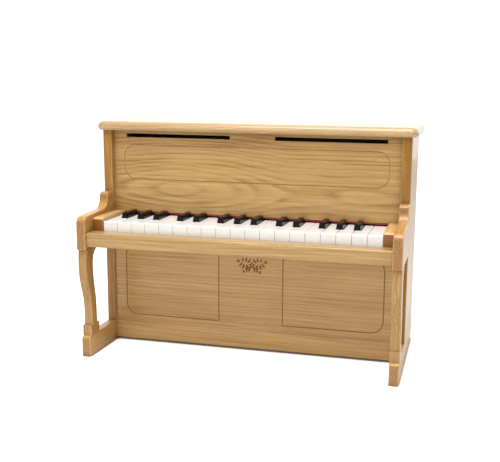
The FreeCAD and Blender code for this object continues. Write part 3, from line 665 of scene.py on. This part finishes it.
def feltStrip(name, look):
    # a strip of cut felt along X: rounded section, edges pulled about by the shears
    low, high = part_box(look["node"])
    chance = random.Random(look["seed"])
    corner, cornerSteps = look["round"], look["cornerSteps"]
    section = []
    for cy, cz, turn in ((high.y, high.z, 0), (low.y, high.z, 90), (low.y, low.z, 180), (high.y, low.z, 270)):
        oy = cy - corner if turn in (0, 270) else cy + corner
        oz = cz - corner if turn in (0, 90) else cz + corner
        for step in range(cornerSteps + 1):
            a = math.radians(turn + step * 90 / cornerSteps)
            section.append((oy + corner * math.cos(a), oz + corner * math.sin(a)))
    work = bmesh.new()
    rings = []
    count = int((high.x - low.x) / look["slice"])
    middle = ((low.y + high.y) / 2, (low.z + high.z) / 2)
    for i in range(count + 1):
        x = low.x + (high.x - low.x) * i / count
        ring = []
        for y, z in section:
            inward = chance.random() * look["fuzz"]
            dy, dz = middle[0] - y, middle[1] - z
            reach = math.hypot(dy, dz)
            ring.append(work.verts.new((x, y + dy / reach * inward, z + dz / reach * inward)))
        rings.append(ring)
    for a, b in zip(rings, rings[1:]):
        wall(work, a, b)
    work.faces.new(rings[0])
    work.faces.new(rings[-1])
    piece = addPiece(name, work, look["finish"], look["slot"], [look["node"]])
    for face in piece.data.polygons:
        face.use_smooth = True


for name, look in feltStrips.items():
    feltStrip(name, {**stripBase, **look})

# faces within flatTurn (degrees) of each other are joined, edges over sharpTurn (radians) are rounded
pipeFeltLook = {"node": "pipe_felts", "flatTurn": 2, "sharpTurn": 0.6, "bevel": 0.0005, "segments": 3,
                "fuzz": 0.00008, "seed": 71}


def pipeFelts(look):
    # the four slips at the pipes: the node's own outline with its cut edges rounded
    work = weldedCopy(look["node"])
    flat = math.radians(look["flatTurn"])
    bmesh.ops.dissolve_limit(work, angle_limit=flat, verts=work.verts, edges=work.edges)
    sharp = [e for e in work.edges if len(e.link_faces) == 2 and e.calc_face_angle() > look["sharpTurn"]]
    bmesh.ops.bevel(
        work, geom=sharp, offset=look["bevel"], segments=look["segments"], profile=0.5, affect="EDGES",
    )
    chance = random.Random(look["seed"])
    for v in work.verts:
        v.co.z += (chance.random() - 0.5) * look["fuzz"]
    addPiece("pipeFeltSlips", work, "greyFelt", "grey_felt", [look["node"]])


pipeFelts(pipeFeltLook)
print("felts modelled")

# lengths in mm; mouth and bottom: half length and half width of the cross at both ends of the recess
screwLook = {"node": "wood_screws", "sides": 32, "head": 3.0, "sink": 2.0, "shank": 1.5, "recess": 1.2,
             "mouth": (1.8, 0.42), "bottom": (0.75, 0.3), "seed": 90}


def islands(work):  # the corners of each separate solid
    seen = set()
    for first in work.verts:
        if first in seen:
            continue
        seen.add(first)
        island, waiting = [], [first]
        while waiting:
            vert = waiting.pop()
            island.append(vert.co.copy())
            for other in (edge.other_vert(vert) for edge in vert.link_edges):
                if other not in seen:
                    seen.add(other)
                    waiting.append(other)
        yield island


def circle(radius, sides):
    steps = [2 * math.pi * i / sides for i in range(sides)]
    return [(radius * math.cos(a), radius * math.sin(a)) for a in steps]


def cross(far, half):
    quarter = [(far, -half), (far, half), (half, half)]
    turns = ((1, 0), (0, 1), (-1, 0), (0, -1))
    return [(u * c - v * s, u * s + v * c) for c, s in turns for u, v in quarter]


def crossScrew(work, look, island, turn):
    # the head is where the solid is widest, the tip at its other end
    x0, z0 = [(min(v[k] for v in island) + max(v[k] for v in island)) / 2 for k in (0, 2)]
    top = max(island, key=lambda v: math.hypot(v.x - x0, v.z - z0)).y
    tip = max((v.y for v in island), key=lambda y: abs(y - top))
    into = 1 if tip > top else -1
    c, s = math.cos(turn), math.sin(turn)

    def loop(points, y):
        spun = [(u * c - v * s, u * s + v * c) for u, v in points]
        return [work.verts.new((x0 + u / 1000, y, z0 + v / 1000)) for u, v in spun]

    rim = loop(circle(look["head"], look["sides"]), top)
    neck = loop(circle(look["shank"], look["sides"]), top + into * look["sink"] / 1000)
    end = loop(circle(look["shank"], look["sides"]), tip)
    mouth = loop(cross(*look["mouth"]), top)
    bottom = loop(cross(*look["bottom"]), top + into * look["recess"] / 1000)
    edges = [work.edges.new((ring[i - 1], ring[i])) for ring in (rim, mouth) for i in range(len(ring))]
    bmesh.ops.triangle_fill(work, edges=edges, use_beauty=True)
    wall(work, rim, neck)
    wall(work, neck, end)
    wall(work, mouth, bottom)
    work.faces.new(end)
    work.faces.new(bottom)


def crossScrews(look):
    # countersunk screws with a cross recess, one for each solid of the node
    solids = weldedCopy(look["node"])
    work = bmesh.new()
    chance = random.Random(look["seed"])
    for island in islands(solids):
        crossScrew(work, look, island, chance.random() * math.pi)
    solids.free()
    addPiece("crossScrews", work, "screwSteel", "steel", [look["node"]])


crossScrews(screwLook)
print("screws modelled")

# stained liners in the routed grooves; the grooves are 1.6 mm wide and 0.8 mm deep
# half: half the liner's width; floor: its depth in the panel; rise: how high its walls stand; skin: its thickness
grooveLook = {"half": 0.00077, "floor": 0.00078, "rise": 0.0006, "skin": 0.00005, "cornerSteps": 12}
# radii of the corners: lower left, lower right, upper right, upper left
routedLines = {
    "upperLine": {"node": "upper_front_panel", "stain": "upperStain", "x": (-0.178, 0.178),
                  "z": (0.225715, 0.271715), "radii": (0.016, 0.016, 0.016, 0.016)},
    "rightLowerLine": {"node": "lower_front_panel", "stain": "lowerStain", "x": (0.044, 0.177),
                       "z": (0.038, 0.135), "radii": (0, 0.016, 0.016, 0)},
    "leftLowerLine": {"node": "lower_front_panel", "stain": "lowerStain", "x": (-0.177, -0.044),
                      "z": (0.038, 0.135), "radii": (0.016, 0, 0, 0.016)},
}


def roundedPath(x0, x1, z0, z1, radii, cornerSteps, inset):
    points = []
    for cx, cz, turn, radius in zip((x0, x1, x1, x0), (z0, z0, z1, z1), (180, 270, 0, 90), radii):
        sx = 1 if cx == x0 else -1
        sz = 1 if cz == z0 else -1
        if radius == 0:
            points.append((cx + sx * inset, cz + sz * inset))
            continue
        mx, mz, r = cx + sx * radius, cz + sz * radius, radius - inset
        for step in range(cornerSteps + 1):
            a = math.radians(turn + step * 90 / cornerSteps)
            points.append((mx + r * math.cos(a), mz + r * math.sin(a)))
    return points


def routedLine(name, look, groove):
    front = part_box(look["node"])[0].y
    half, skin = groove["half"], groove["skin"]
    floor = front + groove["floor"]
    lip = floor - groove["rise"]
    outside = [(-half, lip), (-half, floor), (half, floor), (half, lip)]
    inside = [(half - skin, lip), (half - skin, floor - skin)]
    inside += [(skin - half, floor - skin), (skin - half, lip)]
    work = bmesh.new()
    rows = []
    for inset, y in outside + inside:
        path = roundedPath(*look["x"], *look["z"], look["radii"], groove["cornerSteps"], inset)
        rows.append([work.verts.new((x, y, z)) for x, z in path])
    for a, b in zip(rows, rows[1:] + rows[:1]):
        wall(work, a, b)
    addPiece(name, work, look["stain"], "oak")


for name, look in routedLines.items():
    routedLine(name, look, grooveLook)
print("routed lines stained")

# a small spray of leaves round a flower, generic, on the lower panel under the key slip; lengths in mm
# step: how much higher each shape lies than the last; sunk: how far it reaches into the panel
# leafBelly: under 1 a leaf is fullest near its stalk; leafTurn: its angle to the stem in radians
sprigLook = {
    "x": 1.8, "z": 117.0, "thick": 0.1, "step": 0.0015, "sunk": 0.02,
    "leaf": (5.2, 2.5), "leafSteps": 16, "leafBelly": 0.8, "leafTurn": 0.95,
    "leavesFrom": 0.1, "leavesOver": 0.8, "leavesShrink": 0.4, "tipLeaf": 0.6,
    "stemSteps": 24, "stemHalf": 0.4, "stemTaper": 1.1,
    "petals": 5, "petal": (3.3, 3.0), "petalFrom": 1.3, "heart": 1.0, "heartTurn": 20,
    # start, end, bow and leaf pairs of the stems on the right, with their leaf size
    "stems": (
        {"start": (3.6, -2.6), "end": (19.0, 5.6), "bow": -3.0, "pairs": 4, "size": 1.0},
        {"start": (2.2, 4.4), "end": (12.4, 7.2), "bow": 1.4, "pairs": 3, "size": 0.85},
        {"start": (1.6, -5.2), "end": (11.0, -8.6), "bow": 0.8, "pairs": 3, "size": 0.85},
    ),
}


def sprig(look):
    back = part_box("lower_front_panel")[0].y
    work = bmesh.new()
    laid = []

    def slab(outline):  # a thin shape lying on the panel, no two of them in one plane
        front = back - (look["thick"] + look["step"] * len(laid)) / 1000
        near = [work.verts.new(((look["x"] + x) / 1000, front, (look["z"] + z) / 1000)) for x, z in outline]
        far = [work.verts.new((v.co.x, back + look["sunk"] / 1000, v.co.z)) for v in near]
        laid.append(work.faces.new(near))
        work.faces.new(far[::-1])
        for i in range(len(near)):
            j = (i + 1) % len(near)
            work.faces.new((near[i], far[i], far[j], near[j]))

    def leaf(x, z, angle, length, width):
        steps = [step / look["leafSteps"] for step in range(look["leafSteps"] + 1)]
        half = [(u, math.sin(math.pi * u ** look["leafBelly"]) / 2) for u in steps]
        outline = half + [(u, -v) for u, v in half[-2:0:-1]]
        c, s = math.cos(angle), math.sin(angle)
        slab([(x + u * length * c - v * width * s, z + u * length * s + v * width * c) for u, v in outline])

    def stem(side, start, end, bow, pairs, size):
        last = look["stemSteps"]
        dx, dz = end[0] - start[0], end[1] - start[1]
        run = math.hypot(dx, dz)
        steps = []
        for i in range(last + 1):
            t = i / last
            lift = 4 * bow * t * (1 - t)
            steps.append((side * (start[0] + dx * t - dz / run * lift), start[1] + dz * t + dx / run * lift))
        outer, inner, headings = [], [], []
        for i, (x, z) in enumerate(steps):
            ahead, behind = steps[min(i + 1, last)], steps[max(i - 1, 0)]
            heading = math.atan2(ahead[1] - behind[1], ahead[0] - behind[0])
            half = look["stemHalf"] * (look["stemTaper"] - i / last)
            outer.append((x - math.sin(heading) * half, z + math.cos(heading) * half))
            inner.append((x + math.sin(heading) * half, z - math.cos(heading) * half))
            headings.append(heading)
        slab(outer + inner[::-1])
        length, width = look["leaf"]
        for pair in range(pairs):
            i = round(last * (look["leavesFrom"] + look["leavesOver"] * pair / (pairs - 1)))
            grown = size * (1.0 - look["leavesShrink"] * pair / pairs)
            for turn in (look["leafTurn"], -look["leafTurn"]):
                leaf(*steps[i], headings[i] + turn, length * grown, width * grown)
        leaf(*steps[last], headings[last], length * size * look["tipLeaf"], width * size * look["tipLeaf"])

    for side in (-1, 1):
        for shape in look["stems"]:
            stem(side, **shape)
    for k in range(look["petals"]):
        turn = math.pi / 2 + 2 * math.pi * k / look["petals"]
        leaf(look["petalFrom"] * math.cos(turn), look["petalFrom"] * math.sin(turn), turn, *look["petal"])
    turns = [math.radians(a) for a in range(0, 360, look["heartTurn"])]
    slab([(look["heart"] * math.cos(a), look["heart"] * math.sin(a)) for a in turns])
    addPiece("leafSprig", work, "sprigStain", "oak")


sprig(sprigLook)
print("sprig laid on")


# floor, light and camera

# contact: how near the piano must be for the floor to darken to shade, a painted contact shadow; glow: what the
# camera alone sees of the open floor, and the colour after it the painted shadow's tone that the camera sees near
# the piano
floorLook = {
    "size": 6.0, "tiles": 24,
    "colour": (240, 240, 240), "flecks": (235, 235, 235), "cloud": ((9, 9, 9), 3.0, 0.5),
    "contact": 0.007, "contactRange": (0.5, 0.8), "contactSamples": 8, "shade": (176, 162, 148),
    "rough": 0.9, "shine": 0.1, "glow": (0.62, 0.62, 0.62, 1), "contactShadowTone": (0.06, 0.046, 0.034, 1),
}


def paleFloor(look):
    work = bmesh.new()
    half, tiles = look["size"] / 2, look["tiles"]
    places = [-half + look["size"] * i / tiles for i in range(tiles + 1)]
    rows = [[work.verts.new((x, y, 0)) for y in places] for x in places]
    for a, b in zip(rows, rows[1:]):
        for j in range(tiles):
            work.faces.new((a[j], b[j], b[j + 1], a[j + 1]))
    mesh = bpy.data.meshes.new("paleFloor")
    work.to_mesh(mesh)
    work.free()
    floor = bpy.data.objects.new("paleFloor", mesh)
    material, tree, shader, place = startMaterial("floorPaper")
    cloud = noise(tree, place["Object"], *look["cloud"])
    paper = mix(tree, cloud, srgb(*look["colour"]), srgb(*look["flecks"]))
    close = put(tree, "ShaderNodeAmbientOcclusion")
    close.samples = look["contactSamples"]
    close.inputs["Distance"].default_value = look["contact"]
    # painted contact shadow: dark only where the piano all but touches
    openness = remap(tree, close.outputs["AO"], *look["contactRange"])
    tree.links.new(mix(tree, openness, srgb(*look["shade"]), paper), shader["Base Color"])
    shader["Roughness"].default_value = look["rough"]
    shader["Specular IOR Level"].default_value = look["shine"]
    seen = put(tree, "ShaderNodeLightPath").outputs["Is Camera Ray"]  # the glow lights nothing else
    lit = calc(tree, "MULTIPLY", seen, openness)
    # the painted shadow's tone, seen by the camera alone near the piano
    contactShadowTone = mix(tree, seen, (0, 0, 0, 1), look["contactShadowTone"])
    tree.links.new(mix(tree, lit, contactShadowTone, look["glow"]), shader["Emission Color"])
    shader["Emission Strength"].default_value = 1.0
    mesh.materials.append(material)
    scene.collection.objects.link(floor)


paleFloor(floorLook)

# front and behind: strength of the light all round, at both ends of the sweep; seen: what the camera gets
studio = {
    "front": 0.32, "behind": 1.4, "sweep": (-0.5, 0.8), "seen": 1.2, "aim": (0, 0, 0.15),
    "lamps": {
        "frontSoftbox": {"power": 9.0, "place": (-0.5, -1.75, 1.05), "size": 1.2},
        "topSoftbox": {"power": 41.0, "place": (0.1, -0.7, 1.85), "size": 1.2},
    },
}


def studioLight(look):
    world = bpy.data.worlds.new("studio")
    scene.world = world
    world.use_nodes = True
    tree = world.node_tree
    tree.nodes.clear()
    back = put(tree, "ShaderNodeBackground")
    tree.links.new(back.outputs[0], put(tree, "ShaderNodeOutputWorld").inputs["Surface"])
    back.inputs["Color"].default_value = (1, 1, 1, 1)
    toward = split(tree, put(tree, "ShaderNodeTexCoord").outputs["Generated"])[1]
    given = remap(tree, toward, *look["sweep"], look["front"], look["behind"])
    straight = put(tree, "ShaderNodeLightPath").outputs["Is Camera Ray"]  # white behind the piano all round
    strength = remap(tree, straight, 0.0, 1.0, given, look["seen"], smooth=False)
    tree.links.new(strength, back.inputs["Strength"])
    for name, lampLook in look["lamps"].items():
        lamp = bpy.data.lights.new(name, "AREA")
        lamp.energy = lampLook["power"]
        lamp.size = lampLook["size"]
        box = bpy.data.objects.new(name, lamp)
        box.location = lampLook["place"]
        box.rotation_euler = (Vector(look["aim"]) - box.location).to_track_quat("-Z", "Y").to_euler()
        scene.collection.objects.link(box)


studioLight(studio)
scene.view_settings.view_transform = "Standard"

cameraLook = {
    "place": (0.27232, -0.99628, 0.34975), "azimuth": 13.619, "elevation": 10.205, "roll": 0.61,
    "sensor": 36.0, "lens": 56.744, "shift": (-0.05292, -0.00422), "clip": (0.05, 20.0),
}


def photoCamera(look):
    az, el = math.radians(look["azimuth"]), math.radians(look["elevation"])
    away = Vector((math.sin(az) * math.cos(el), -math.cos(az) * math.cos(el), math.sin(el)))
    data = bpy.data.cameras.new("photoCamera")
    data.sensor_width = look["sensor"]
    data.lens = look["lens"]
    data.shift_x, data.shift_y = look["shift"]
    data.clip_start, data.clip_end = look["clip"]
    camera = bpy.data.objects.new("photoCamera", data)
    camera.location = look["place"]
    turn = (-away).to_track_quat("-Z", "Y").to_matrix().to_4x4()
    camera.rotation_euler = (turn @ Matrix.Rotation(math.radians(look["roll"]), 4, "Z")).to_euler()
    scene.collection.objects.link(camera)
    scene.camera = camera


photoCamera(cameraLook)
print("floor, light and camera set")
